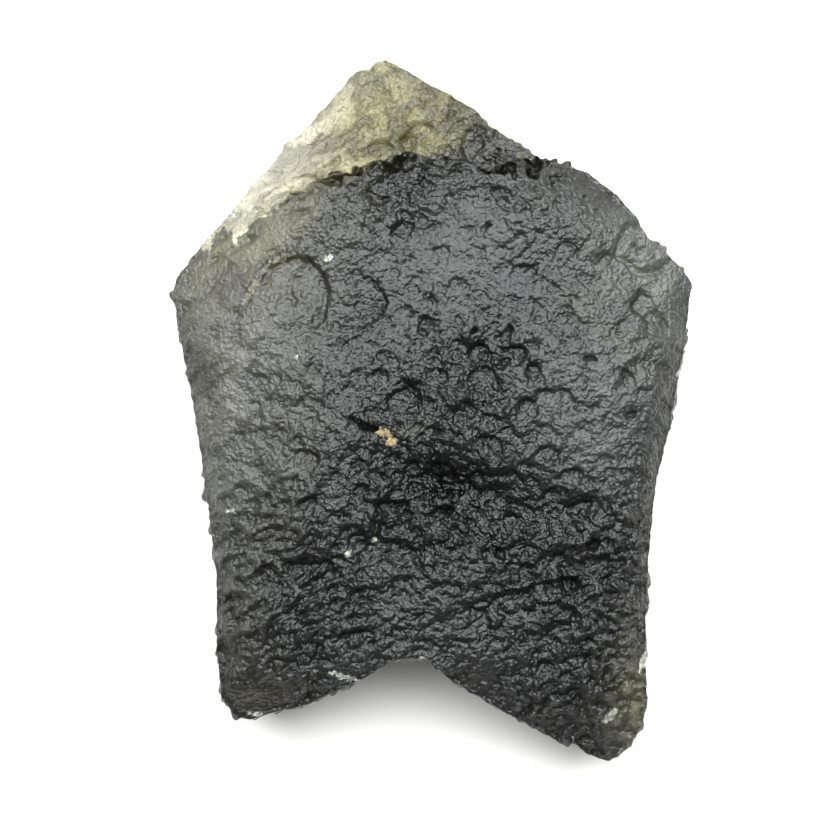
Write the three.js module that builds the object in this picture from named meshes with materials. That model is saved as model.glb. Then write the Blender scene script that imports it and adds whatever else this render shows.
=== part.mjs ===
// Raw moldavite: one flat, etched piece of natural glass, pointed at one end and notched at the other.
// Millimetres. The stone lies flat on the ground (z = 0), its point towards +Y, its notch towards -Y.
import * as THREE from "three";
import { mergeVertices } from "three/addons/utils/BufferGeometryUtils.js";

const { clamp, degToRad, lerp, smoothstep } = THREE.MathUtils;

// Overall size
const WIDTH = 26.0;
const LENGTH = 35.2;
const THICKNESS = 8.4;

// How finely the skin is faceted, and how much of it goes to the upper face and to the rim.
const FACETS_PER_EDGE = 21;
const UPPER_SHARE = 0.6;
const RIM_SHARE = 0.16;

// How the facets are evened out: steps of a full turn, the angle over which corners are rounded away
// for the inner facets, how far these may reach past the outline, and the rounds of settling.
const TURN_STEPS = 720;
const SOFT_TURN = degToRad(34);
const SOFT_STEPS = 12;
const SOFT_MOST = 1.15;
const SETTLE_ROUNDS = 30;
const SETTLE_FALLOFF = 2;

// Rounding of the rim: part of the local thickness, within limits.
const RIM_ROUNDING = 0.34;
const RIM_ROUNDING_LEAST = 0.2;
const RIM_ROUNDING_MOST = 0.75;

// Outline seen from above, clockwise from the point.
const OUTLINE = [
  [-2.4, 17.6], [-1.5, 17.15], [0.1, 16.2], [1.75, 15.25], [2.4, 14.8], [2.6, 14.35],
  [4.15, 13.3], [5.15, 12.55], [6.45, 12.0], [7.75, 11.7], [9.25, 10.55], [10.15, 9.45],
  [10.9, 8.15], [11.5, 7.9], [12.6, 6.7], [13.0, 6.1], [12.95, 5.4], [12.6, 2.9],
  [11.9, -0.85], [11.1, -4.1], [10.75, -7.6], [10.6, -11.6], [10.75, -14.6], [10.5, -15.85],
  [10.0, -16.85], [9.4, -17.45], [8.8, -17.6], [7.65, -17.15], [7.25, -16.8], [6.5, -16.75],
  [3.5, -15.15], [1.0, -13.75], [-0.3, -12.7], [-0.9, -12.6], [-2.0, -12.75], [-3.25, -13.5],
  [-4.75, -14.2], [-6.5, -14.95], [-7.25, -15.05], [-9.25, -15.6], [-9.8, -15.5], [-10.5, -14.55],
  [-10.75, -12.1], [-10.75, -8.35], [-11.15, -5.35], [-11.85, -0.5], [-12.4, 2.15], [-12.9, 4.9],
  [-13.0, 5.65], [-12.8, 6.5], [-11.65, 8.05], [-10.15, 9.75], [-9.0, 11.2], [-7.9, 12.4],
  [-7.45, 13.25], [-6.65, 13.8], [-5.25, 15.35], [-4.05, 16.8], [-3.85, 17.05], [-3.2, 17.1],
  [-2.9, 17.45],
];

// Facets of the upper face. Each passes through x, y, z and falls towards a bearing (degrees from +X
// towards +Y) at a slope in degrees.
const UPPER_FACETS = [
  [0.0, -1.0, 8.4, 95, 5.5],
  [0.0, -1.0, 8.4, 272, 8.0],
  [-8.0, 0.0, 8.0, 189, 14],
  [8.2, 0.0, 8.0, 351, 13],
  [-11.1, 0.0, 7.05, 189, 47],
  [11.1, 0.0, 7.1, 351, 50],
  [-6.0, -12.9, 6.7, 268, 42],
  [6.0, -12.6, 6.8, 285, 24],
  [8.5, 6.5, 7.4, 30, 17],
  [7.9, 9.9, 6.6, 52, 36],
  [-8.6, 8.6, 6.4, 139, 30],
  [8.9, -15.9, 5.6, 318, 38],
];
const UPPER_CREASE = 0.7;

// The thin shelf at the pointed end, one step below the main face, and the ledge that bounds it.
const SHELF = [0.0, 12.0, 5.3, 105, 12.5];
const LEDGE = [
  [-13.0, 7.0], [-9.5, 8.8], [-6.15, 10.75], [-5.2, 10.85], [-3.85, 11.6], [-1.65, 11.8],
  [0.9, 12.3], [3.45, 11.7], [6.25, 12.05], [9.0, 12.6], [13.0, 14.0],
];
const LEDGE_FOOT = 0.75;
const LEDGE_HEAD = -0.45;

// Facets of the underside, given in the same way, but rising towards their bearing.
const LOWER_FACETS = [
  [0.0, 4.5, 0.0, 105, 13],
  [-6.15, 10.75, 2.4, 139, 29],
  [-7.0, 0.0, 0.0, 189, 20],
  [7.0, 0.0, 0.0, 351, 20],
  [0.0, -7.0, 0.0, 268, 13.5],
  [7.0, 6.0, 0.0, 50, 22],
];
const LOWER_CREASE = 1.6;

// Etch pits of the upper face: x, y, radius, depth, stretch, turn of the long side in degrees.
const PITS = [
  [11.0, 3.8, 0.75, 0.4, 1, 0], [10.5, 4.6, 0.6, 0.35, 1.8, 140], [-0.3, 3.8, 0.55, 0.25, 1, 0],
  [1.25, 5.75, 0.5, 0.25, 1, 0], [6.5, 3.8, 0.7, 0.3, 1, 0], [6.6, 7.45, 0.6, 0.3, 1, 0],
  [7.2, 9.5, 0.5, 0.25, 1, 0], [3.6, 10.0, 0.55, 0.3, 1.7, 25], [4.5, 6.2, 0.8, 0.35, 1, 0],
  [-1.5, 8.4, 0.7, 0.3, 1, 0], [3.7, 3.4, 0.7, 0.5, 1, 0], [2.5, 1.1, 1.15, 0.45, 1, 0],
  [0.2, 1.2, 0.75, 0.35, 1, 0], [5.2, 1.1, 0.6, 0.3, 1, 0], [5.5, 0.15, 0.7, 0.35, 1, 0],
  [9.6, 1.1, 0.6, 0.3, 1, 0], [-1.4, 0.1, 0.95, 0.4, 1, 0], [-6.3, -2.9, 0.8, 0.35, 1, 0],
  [-7.45, -2.75, 0.5, 0.25, 1, 0], [-6.2, -5.1, 0.65, 0.3, 1, 0], [-8.65, -1.1, 0.45, 0.2, 1, 0],
  [-9.2, -4.6, 1.0, 0.25, 1, 0], [-1.9, -5.7, 1.15, 0.55, 1, 0], [-3.9, -6.6, 0.85, 0.35, 1, 0],
  [0.5, -5.2, 0.6, 0.35, 1.6, 20], [3.0, -7.4, 0.65, 0.35, 1, 0], [6.75, -3.6, 0.7, 0.35, 1, 0],
  [-2.2, -8.1, 1.9, 0.35, 1, 0], [7.5, -7.0, 0.5, 0.35, 2.2, 12], [8.4, -7.9, 0.5, 0.35, 2.6, 12],
  [-0.6, -3.6, 0.55, 0.5, 3.2, 352], [6.0, -9.1, 0.8, 0.35, 2.2, 8], [-0.6, 13.4, 1.6, 0.75, 1, 0],
  [2.1, 13.4, 0.9, 0.55, 1, 0], [-2.7, 12.7, 0.9, 0.5, 1.3, 20],
  [-3.6, -1.1, 0.5, 0.45, 2.6, 344], [-1.3, -1.4, 0.45, 0.45, 2.6, 12],
];

// The two dishes with a moat round a raised floor: x, y, radius, depth of the moat, height of the floor.
const DISHES = [
  [-6.9, 5.15, 2.05, 0.65, 0.42],
  [-3.5, 5.15, 1.5, 0.5, 0.2],
];
const DISH_WALL = 0.2;
const DISH_FLOOR_EDGE = [0.42, 0.74];

// Scattered pits: spacing of their cells, least and most radius as parts of it, depth per radius, and
// the layer of chance that they are drawn from.
const SCATTER = [
  [2.5, 0.24, 0.46, 0.44, 3],
  [1.75, 0.28, 0.5, 0.44, 8],
];

// Flow ridges, which run in a different direction in each area: x, y, reach of the area, direction in
// degrees, height, width across and length along a ridge.
const FLOW = [
  [6.5, -9.6, 5.0, 14, 0.3, 1.4, 3.8],
  [0.75, -11.1, 3.0, 28, 0.24, 1.3, 3.4],
  [-8.0, -9.6, 4.5, 10, 0.28, 1.35, 2.8],
  [8.5, 8.9, 4.5, 50, 0.2, 1.4, 5.0],
  [-1.5, 10.0, 5.0, 20, 0.16, 1.4, 4.4],
  [1.0, 0.4, 5.5, 340, 0.26, 1.6, 2.4],
  [-10.0, 0.4, 4.5, 64, 0.16, 1.4, 2.2],
  [7.0, -14.8, 2.6, 12, 0.24, 1.25, 4.0],
  [-3.0, 14.4, 3.5, 38, 0.26, 1.5, 2.4],
];

// Broad swells of the upper face: size and height.
const SWELL_SIZE = 5.0;
const SWELL_HEIGHT = 0.3;

// Etching goes as deep as this thickness allows; where the glass is thinner it is shallower.
const FULL_ETCH_THICKNESS = 3.2;
const LEAST_ETCH = 0.2;

// Lumps of the underside and of the rim: size and height.
const LUMP_SIZE = 2.6;
const LUMP_HEIGHT = 0.32;
const KNURL_SIZE = 1.6;
const KNURL_HEIGHT = 0.6;

// Layers of the bumps below, so that no two kinds of relief repeat each other.
const FLOW_LAYER = 20;
const LUMP_LAYER = 41;
const SWELL_LAYER = 61;

const fract = (v) => v - Math.floor(v);
const fade = (t) => t * t * t * (t * (t * 6 - 15) + 10);

// A fixed number from 0 to 1 for each point of a whole-number grid.
const STRIDES = [127.1, 311.7, 74.7];
const SCRAMBLE = 43758.5453;
function chance(i, j, k) {
  return fract(Math.sin(i * STRIDES[0] + j * STRIDES[1] + k * STRIDES[2]) * SCRAMBLE);
}

// Smooth bumps from -1 to 1, one unit apart.
function bumps(x, y, z) {
  const i = Math.floor(x);
  const j = Math.floor(y);
  const k = Math.floor(z);
  const u = fade(x - i);
  const v = fade(y - j);
  const level = (h) => {
    const near = lerp(chance(i, j, h), chance(i + 1, j, h), u);
    const far = lerp(chance(i, j + 1, h), chance(i + 1, j + 1, h), u);
    return lerp(near, far, v);
  };
  return 2 * lerp(level(k), level(k + 1), fade(z - k)) - 1;
}

// The lower of two heights, with a rounded crease where they meet.
function lowerOf(a, b, crease) {
  const h = Math.max(crease - Math.abs(a - b), 0) / crease;
  return Math.min(a, b) - (h * h * crease) / 4;
}

// The height of a facet at x, y: it falls towards its bearing, or rises where the sense is 1.
function facetAt([px, py, pz, bearing, slope], x, y, sense = -1) {
  const along = (x - px) * Math.cos(degToRad(bearing)) + (y - py) * Math.sin(degToRad(bearing));
  return pz + sense * along * Math.tan(degToRad(slope));
}

// Where the ledge of the shelf runs, for each x.
function ledgeAt(x) {
  const next = Math.max(1, LEDGE.findIndex(([lx]) => lx >= x));
  const [ax, ay] = LEDGE[next - 1];
  const [bx, by] = LEDGE[next];
  return lerp(ay, by, clamp((x - ax) / (bx - ax), 0, 1));
}

// The plain upper face: facets with rounded creases, and the shelf one step down.
function upperForm(x, y) {
  const facets = UPPER_FACETS.map((facet) => facetAt(facet, x, y));
  const face = facets.reduce((a, b) => lowerOf(a, b, UPPER_CREASE));
  const shelf = lowerOf(face, facetAt(SHELF, x, y), UPPER_CREASE);
  return lerp(face, shelf, smoothstep(y - ledgeAt(x), LEDGE_HEAD, LEDGE_FOOT));
}

// The plain underside: facets rising from the flat on which the stone lies.
function lowerForm(x, y) {
  const facets = LOWER_FACETS.map((facet) => facetAt(facet, x, y, 1));
  return facets.reduce((a, b) => -lowerOf(-a, -b, LOWER_CREASE));
}

// How far a point lies from a pit's middle, as a part of its radius.
function pitReach(x, y, [px, py, radius, , stretch, turn]) {
  const c = Math.cos(degToRad(turn));
  const s = Math.sin(degToRad(turn));
  const along = ((x - px) * c + (y - py) * s) / stretch;
  const across = (y - py) * c - (x - px) * s;
  return Math.hypot(along, across) / radius;
}

function bowl(reach) {
  return Math.max(0, 1 - reach * reach);
}

function pitsAt(x, y) {
  return Math.max(...PITS.map((pit) => pit[3] * bowl(pitReach(x, y, pit))));
}

// A moat of full depth round a floor that stands up in the middle.
function dishesAt(x, y) {
  return Math.max(
    ...DISHES.map(([dx, dy, radius, depth, floor]) => {
      const reach = Math.hypot(x - dx, y - dy) / radius;
      const moat = depth * smoothstep(1 - reach, 0, DISH_WALL);
      return moat - floor * (1 - smoothstep(reach, ...DISH_FLOOR_EDGE));
    }),
    0,
  );
}

// Scattered pits: each cell of a grid holds one, off its middle and of its own size.
function scatterAt(x, y, [cell, least, most, depth, seed]) {
  const ci = Math.floor(x / cell);
  const cj = Math.floor(y / cell);
  let deepest = 0;
  for (let i = ci - 1; i <= ci + 1; i++) {
    for (let j = cj - 1; j <= cj + 1; j++) {
      const px = (i + chance(i, j, seed)) * cell;
      const py = (j + chance(i, j, seed + 1)) * cell;
      const radius = cell * lerp(least, most, chance(i, j, seed + 2));
      const reach = Math.hypot(x - px, y - py) / radius;
      deepest = Math.max(deepest, depth * radius * bowl(reach));
    }
  }
  return deepest;
}

// Flow ridges: in each area its own direction, fading into the next.
function flowAt(x, y) {
  let height = 0;
  let shares = 0;
  FLOW.forEach(([fx, fy, reach, direction, ridge, across, along], n) => {
    const share = Math.exp(-((x - fx) ** 2 + (y - fy) ** 2) / reach ** 2);
    const c = Math.cos(degToRad(direction));
    const s = Math.sin(degToRad(direction));
    const u = (x * c + y * s) / along;
    const v = (y * c - x * s) / across;
    height += share * ridge * bumps(u, v, FLOW_LAYER + n);
    shares += share;
  });
  return height / shares;
}

// How strongly the glass is etched at a place: less where it is thin.
function etchAt(x, y) {
  return clamp((upperForm(x, y) - lowerForm(x, y)) / FULL_ETCH_THICKNESS, LEAST_ETCH, 1);
}

function upperFace(x, y) {
  const scattered = Math.max(...SCATTER.map((level) => scatterAt(x, y, level)));
  const cut = Math.max(pitsAt(x, y), dishesAt(x, y), scattered);
  const swell = SWELL_HEIGHT * bumps(x / SWELL_SIZE, y / SWELL_SIZE, SWELL_LAYER);
  return upperForm(x, y) + etchAt(x, y) * (swell + flowAt(x, y) - cut);
}

// The underside is lumpy and pitted, and flat where the stone touches the ground.
function underside(x, y) {
  const lumps = LUMP_HEIGHT * bumps(x / LUMP_SIZE, y / LUMP_SIZE, LUMP_LAYER);
  const pits = scatterAt(x, y, SCATTER[0]);
  return Math.max(0, lowerForm(x, y) + etchAt(x, y) * (lumps + pits));
}

// Distance from the middle of the stone to the outline in each direction.
function outlineAt(angle) {
  const c = Math.cos(angle);
  const s = Math.sin(angle);
  let distance = 0;
  OUTLINE.forEach(([ax, ay], n) => {
    const [bx, by] = OUTLINE[(n + 1) % OUTLINE.length];
    const a = ay * c - ax * s;
    const b = by * c - bx * s;
    const ahead = (ax + bx) * c + (ay + by) * s > 0;
    if (a * b > 0 || a === b || !ahead) return;
    const t = a / (a - b);
    distance = Math.max(distance, lerp(ax, bx, t) * c + lerp(ay, by, t) * s);
  });
  return distance;
}

// The area of the face swept by a turn from -X, step by step.
const FULL_TURN = 2 * Math.PI;
const swept = [0];
for (let n = 0; n < TURN_STEPS; n++) {
  const reach = outlineAt(((n + 0.5) / TURN_STEPS) * FULL_TURN - Math.PI);
  swept.push(swept[n] + reach * reach);
}

// The outline with its corners rounded away, which the facets follow near the middle.
function softOutlineAt(angle) {
  let total = 0;
  let shares = 0;
  for (let n = -SOFT_STEPS; n <= SOFT_STEPS; n++) {
    const share = SOFT_STEPS + 1 - Math.abs(n);
    total += share * outlineAt(angle + (n / SOFT_STEPS) * SOFT_TURN);
    shares += share;
  }
  return Math.min(total / shares, SOFT_MOST * outlineAt(angle));
}

// The direction by which an even share of the face has been swept, so that all facets are much alike.
function evenTurn(angle) {
  const area = ((angle + Math.PI) / FULL_TURN) * swept[TURN_STEPS];
  const step = Math.max(0, swept.findIndex((a) => a >= area) - 1);
  const part = (area - swept[step]) / (swept[step + 1] - swept[step]);
  return ((step + part) / TURN_STEPS) * FULL_TURN - Math.PI;
}

// The cap of a unit ball becomes the upper face, a band round it the rim, and the rest the underside.
const UPPER_END = 1 - 2 * UPPER_SHARE;
const LOWER_END = UPPER_END - 2 * RIM_SHARE;

function sheetOf(point) {
  if (point.z >= UPPER_END) return "upper";
  return point.z <= LOWER_END ? "under" : "rim";
}

// How much of its sheet's area lies within a point of the ball: 0 in the middle, 1 at the rim.
function areaWithin(point) {
  if (sheetOf(point) === "rim") return 1;
  return sheetOf(point) === "upper" ? (1 - point.z) / (1 - UPPER_END) : (1 + point.z) / (1 + LOWER_END);
}

// Where a point of the ball lies on the stone: its full place on the rim, and elsewhere its x and y.
function placeOnStone(point) {
  const angle = evenTurn(Math.atan2(point.y, point.x));
  const c = Math.cos(angle);
  const s = Math.sin(angle);
  const edge = outlineAt(angle);
  const thickness = upperForm(edge * c, edge * s) - lowerForm(edge * c, edge * s);
  const rounding = clamp(thickness * RIM_ROUNDING, RIM_ROUNDING_LEAST, RIM_ROUNDING_MOST);
  const shoulder = edge - rounding;
  if (sheetOf(point) !== "rim") {
    const part = areaWithin(point);
    const r = Math.sqrt(part) * lerp(softOutlineAt(angle), shoulder, part);
    return new THREE.Vector3(r * c, r * s, 0);
  }
  const top = upperFace(shoulder * c, shoulder * s);
  const bottom = underside(shoulder * c, shoulder * s);
  const round = ((point.z - LOWER_END) / (UPPER_END - LOWER_END) - 0.5) * Math.PI;
  const z = (top + bottom) / 2 + ((top - bottom) / 2) * Math.sin(round);
  const knurl = KNURL_HEIGHT * bumps((edge * c) / KNURL_SIZE, (edge * s) / KNURL_SIZE, z / KNURL_SIZE);
  const r = shoulder + rounding * Math.cos(round) * (1 - Math.abs(knurl));
  return new THREE.Vector3(r * c, r * s, z);
}

// The points joined to each point by an edge.
function neighboursIn(geometry) {
  const joined = Array.from({ length: geometry.getAttribute("position").count }, () => new Set());
  const corners = geometry.index.array;
  for (let n = 0; n < corners.length; n += 3) {
    const [a, b, c] = corners.slice(n, n + 3);
    joined[a].add(b).add(c);
    joined[b].add(a).add(c);
    joined[c].add(a).add(b);
  }
  return joined.map((set) => [...set]);
}

// Lets the points of a sheet settle between their neighbours, less so towards the rim, so that the
// facets even out.
function settle(points, joined, freedom) {
  for (let round = 0; round < SETTLE_ROUNDS; round++) {
    const before = points.map((point) => point.clone());
    points.forEach((point, n) => {
      const middle = new THREE.Vector3();
      joined[n].forEach((m) => middle.addScaledVector(before[m], 1 / joined[n].length));
      point.lerp(middle, freedom[n]);
    });
  }
}

// Stretches the finished skin to the overall size and stands it on the ground, over the origin.
function fitToSize(geometry) {
  geometry.computeBoundingBox();
  const box = geometry.boundingBox;
  const size = box.getSize(new THREE.Vector3());
  geometry.translate(-(box.min.x + box.max.x) / 2, -(box.min.y + box.max.y) / 2, -box.min.z);
  geometry.scale(WIDTH / size.x, LENGTH / size.y, THICKNESS / size.z);
}

// The stone
const ball = new THREE.IcosahedronGeometry(1, FACETS_PER_EDGE);
ball.deleteAttribute("normal");
ball.deleteAttribute("uv");
const skin = mergeVertices(ball, 1e-5);
const places = skin.getAttribute("position");
const ballPoints = Array.from({ length: places.count }, (_, n) =>
  new THREE.Vector3().fromBufferAttribute(places, n),
);
const sheets = ballPoints.map(sheetOf);
const freedom = ballPoints.map((point) => (1 - areaWithin(point)) ** SETTLE_FALLOFF);
const points = ballPoints.map(placeOnStone);
settle(points, neighboursIn(skin), freedom);
points.forEach(({ x, y, z }, n) => {
  const heights = { upper: upperFace, under: underside, rim: () => z };
  places.setXYZ(n, x, y, heights[sheets[n]](x, y));
});
fitToSize(skin);
skin.computeVertexNormals();

// Bottle-green glass with a dull, etched skin
const glass = new THREE.MeshStandardMaterial({ color: 0x3c4030, roughness: 0.4, metalness: 0 });
const stone = new THREE.Mesh(skin, glass);
stone.name = "moldavite";

const part = new THREE.Group();
part.name = "raw_moldavite";
part.add(stone);

export default part;
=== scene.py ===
import bpy
import numpy as np
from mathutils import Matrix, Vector


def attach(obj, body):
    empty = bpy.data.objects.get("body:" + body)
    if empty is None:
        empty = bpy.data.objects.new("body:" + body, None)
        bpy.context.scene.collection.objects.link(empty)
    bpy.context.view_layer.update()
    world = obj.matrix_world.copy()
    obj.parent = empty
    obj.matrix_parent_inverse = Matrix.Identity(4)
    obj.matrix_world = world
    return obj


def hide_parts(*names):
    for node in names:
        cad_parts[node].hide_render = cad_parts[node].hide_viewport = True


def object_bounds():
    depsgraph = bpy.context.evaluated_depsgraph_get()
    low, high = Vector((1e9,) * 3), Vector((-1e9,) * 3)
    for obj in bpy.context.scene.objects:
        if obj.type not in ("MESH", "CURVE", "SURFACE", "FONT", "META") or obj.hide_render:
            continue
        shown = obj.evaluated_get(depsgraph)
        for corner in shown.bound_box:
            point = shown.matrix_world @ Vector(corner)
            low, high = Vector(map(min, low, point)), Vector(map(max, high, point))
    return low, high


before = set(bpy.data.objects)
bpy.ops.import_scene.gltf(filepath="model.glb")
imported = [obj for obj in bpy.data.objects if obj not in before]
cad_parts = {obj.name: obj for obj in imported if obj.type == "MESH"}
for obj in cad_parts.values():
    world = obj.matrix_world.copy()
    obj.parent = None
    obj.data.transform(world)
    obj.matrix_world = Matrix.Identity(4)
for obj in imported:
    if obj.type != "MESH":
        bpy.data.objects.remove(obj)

CAD_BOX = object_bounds()
MM = 0.001

# Outline seen from above, in millimetres, clockwise from the point.
OUTLINE = np.array([
    (-2.4, 17.6), (-1.5, 17.15), (0.1, 16.2), (1.75, 15.25), (2.4, 14.8), (2.6, 14.35),
    (4.15, 13.3), (5.15, 12.55), (6.45, 12.0), (7.75, 11.7), (9.25, 10.55), (10.15, 9.45),
    (10.9, 8.15), (11.5, 7.9), (12.6, 6.7), (13.0, 6.1), (12.95, 5.4), (12.6, 2.9),
    (11.9, -0.85), (11.1, -4.1), (10.75, -7.6), (10.6, -11.6), (10.75, -14.6), (10.5, -15.85),
    (10.0, -16.85), (9.4, -17.45), (8.8, -17.6), (7.65, -17.15), (7.25, -16.8), (6.5, -16.75),
    (3.5, -15.15), (1.0, -13.75), (-0.3, -12.7), (-0.9, -12.6), (-2.0, -12.75), (-3.25, -13.5),
    (-4.75, -14.2), (-6.5, -14.95), (-7.25, -15.05), (-9.25, -15.6), (-9.8, -15.5),
    (-10.5, -14.55), (-10.75, -12.1), (-10.75, -8.35), (-11.15, -5.35), (-11.85, -0.5),
    (-12.4, 2.15), (-12.9, 4.9), (-13.0, 5.65), (-12.8, 6.5), (-11.65, 8.05), (-10.15, 9.75),
    (-9.0, 11.2), (-7.9, 12.4), (-7.45, 13.25), (-6.65, 13.8), (-5.25, 15.35), (-4.05, 16.8),
    (-3.85, 17.05), (-3.2, 17.1), (-2.9, 17.45),
])

# Facets of the upper face: each passes through x, y, z and falls towards a bearing at a slope, both in
# degrees.
UPPER_FACETS = [
    (0.0, -1.0, 8.4, 95, 5.5),
    (0.0, -1.0, 8.4, 272, 8.0),
    (-8.0, 0.0, 8.0, 189, 14),
    (8.2, 0.0, 8.0, 351, 13),
    (-11.1, 0.0, 7.05, 189, 47),
    (11.1, 0.0, 7.1, 351, 50),
    (-6.0, -12.9, 6.7, 268, 42),
    (6.0, -12.6, 6.8, 285, 24),
    (8.5, 6.5, 7.4, 30, 17),
    (7.9, 9.9, 6.6, 52, 36),
    (-8.6, 8.6, 6.4, 139, 30),
    (8.9, -15.9, 5.6, 318, 38),
]
UPPER_CREASE = 0.7

# The lower shelf at the pointed end, a facet like the others, and the ledge above it as a line across the
# face.
SHELF = (0.0, 12.0, 5.3, 105, 12.5)
LEDGE = np.array([
    (-13.0, 7.0), (-9.5, 8.8), (-6.15, 10.75), (-5.2, 10.85), (-3.85, 11.6), (-1.65, 11.8),
    (0.9, 12.3), (3.45, 11.7), (6.25, 12.05), (9.0, 12.6), (13.0, 14.0),
])
# The ledge's wall falls from its head to its foot, so far past that line, and is wider to the left.
LEDGE_HEAD = -0.3
LEDGE_FOOT = 0.4
LEDGE_FADE = 2.2
LEDGE_FADE_RANGE = (3.5, 8.0)
# Raggedness of the ledge: size, height and layer of chance of each noise.
LEDGE_RAGGED = [(1.7, 0.7, 71), (0.6, 0.3, 72)]
# Steps in the ledge's wall: their size along it and how many stand one above another.
LEDGE_STEPS = 0.45
STEP_SIZE, STEPS_DOWN = 0.8, 3
FINE_STEP_SIZE, FINE_STEPS_DOWN = 0.35, 7
FINE_STEP_SHARE = 0.5

# Facets of the underside: the same, but rising towards their bearing.
LOWER_FACETS = [
    (0.0, 4.5, 0.0, 105, 13),
    (-6.15, 10.75, 2.4, 139, 29),
    (-7.0, 0.0, 0.0, 189, 20),
    (7.0, 0.0, 0.0, 351, 20),
    (0.0, -7.0, 0.0, 268, 13.5),
    (7.0, 6.0, 0.0, 50, 22),
]
LOWER_CREASE = 1.6

# Single etch pits: x, y, radius, depth, stretch, turn of the long side in degrees.
PITS = [
    (11.0, 3.8, 0.7, 0.41, 1, 0), (10.5, 4.6, 0.55, 0.41, 1.8, 140), (-0.3, 3.7, 0.4, 0.3, 1.2, 90),
    (3.6, 10.0, 0.5, 0.28, 1.9, 145), (3.7, 3.4, 0.28, 0.41, 2.0, 60), (4.4, 6.3, 0.5, 0.22, 1.4, 30),
    (-1.5, 8.4, 0.5, 0.28, 1.6, 30), (2.5, 1.1, 0.9, 0.41, 1, 0), (0.2, 1.2, 0.65, 0.41, 1, 0),
    (4.9, 1.5, 0.45, 0.34, 1, 0), (5.5, 0.15, 0.5, 0.34, 1.3, 20), (9.6, 1.1, 0.45, 0.28, 1, 0),
    (9.8, -0.6, 0.22, 0.41, 1.8, 15), (-1.4, 0.1, 0.9, 0.47, 1, 0), (-6.3, -2.9, 0.72, 0.41, 1, 0),
    (-7.45, -2.75, 0.36, 0.22, 1, 0), (-6.2, -5.1, 0.5, 0.33, 1.3, 30), (-9.2, -4.6, 0.9, 0.19, 1, 0),
    (-1.95, -5.6, 1.05, 0.64, 1, 0), (-3.9, -6.6, 0.7, 0.34, 1, 0), (0.5, -5.2, 0.4, 0.61, 1.8, 20),
    (3.0, -7.4, 0.6, 0.47, 1.2, 0), (6.75, -3.6, 0.5, 0.41, 1.6, 10), (-2.2, -8.1, 1.9, 0.34, 1, 0),
    (7.5, -7.0, 0.3, 0.55, 3.2, 14), (8.4, -7.9, 0.3, 0.55, 4.5, 14), (-0.2, -3.3, 0.55, 0.64, 3.0, 350),
    (6.0, -9.0, 0.6, 0.55, 2.6, 8), (-0.7, 13.3, 1.0, 0.55, 1.1, 60), (2.1, 13.2, 0.7, 0.41, 1.5, 70),
    (-2.7, 12.6, 0.7, 0.47, 1.3, 20), (-3.6, -1.1, 0.26, 0.64, 3.8, 344), (-0.9, -1.3, 0.22, 0.47, 3.4, 25),
    (2.6, 8.6, 0.12, 0.34, 3.4, 20), (2.0, 3.5, 0.13, 0.41, 3.0, 62), (4.6, -0.4, 0.6, 0.41, 1.3, 40),
    (1.6, -0.5, 0.55, 0.41, 1.2, 0), (3.4, 1.9, 0.2, 0.41, 3.2, 35), (-6.6, 10.9, 0.5, 0.34, 2.6, 32),
    (7.5, 2.25, 0.16, 0.43, 5.0, 341), (2.3, 2.2, 0.75, 0.39, 1, 0), (4.0, 2.3, 0.5, 0.39, 1.2, 0),
    (6.0, -4.4, 0.25, 0.47, 3.0, 5), (10.5, 5.0, 0.45, 0.34, 1.6, 120), (2.8, -2.0, 0.35, 0.47, 2.4, 330),
]
PIT_WALL = 0.3
PIT_HEEL = 0.15
# Shift of each pit's edge along x and along y: size, height and layer of each noise.
WANDER_X = [(1.1, 0.2, 81), (0.4, 0.08, 83)]
WANDER_Y = [(1.1, 0.2, 82), (0.4, 0.08, 84)]

# Rings, each a small round groove: x, y, radius.
RINGS = [
    (-1.1, 5.5, 0.3), (1.15, 5.8, 0.26), (-0.1, 5.0, 0.2), (6.6, 7.4, 0.48), (11.0, 3.85, 0.62),
    (6.6, 3.7, 0.66), (-8.7, -0.9, 0.26), (-8.4, -1.6, 0.26), (4.3, 9.6, 0.4), (-0.35, 3.8, 0.34),
    (2.4, 0.9, 0.7), (-1.45, 0.2, 0.8), (-5.9, -5.0, 0.3), (-3.6, -3.2, 0.3), (7.3, 0.9, 0.3),
]
RING_DEPTH = 0.13
RING_HEEL = 0.2
RING_WIDTH = 0.1

# Dishes with a moat round a raised floor: x, y, radius, depth of the moat, height of the floor, bearing
# on which the moat is deepest.
DISHES = [
    (-6.85, 5.2, 2.05, 0.36, 0.1, 40),
    (-3.7, 5.0, 1.45, 0.28, 0.08, 330),
    (10.5, 7.7, 1.6, 0.4, 0.25, 215),
]
DISH_WALL = 0.16
DISH_FLOOR_EDGE = (0.5, 0.8)
MOAT_MEAN, MOAT_SWING = 0.55, 0.45
DISH_WAVER, DISH_WAVER_SIZE = 0.1, 1.3

# Scattered scoops, steep on one side: spacing of their cells, least and most radius as parts of it, depth
# per radius, layer of chance.
SCATTER = [
    (2.5, 0.14, 0.34, 0.34, 3),
    (1.3, 0.14, 0.38, 0.4, 8),
    (0.7, 0.16, 0.42, 0.44, 13),
]
SCOOPED_SHARE = 0.6
SCOOP_WALL = 0.26
LEAST_SCOOP = 0.5

# Pits are steepest on this side: away from the notch and a little to the right.
LEAD = (np.cos(np.radians(65)), np.sin(np.radians(65)))

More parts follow.
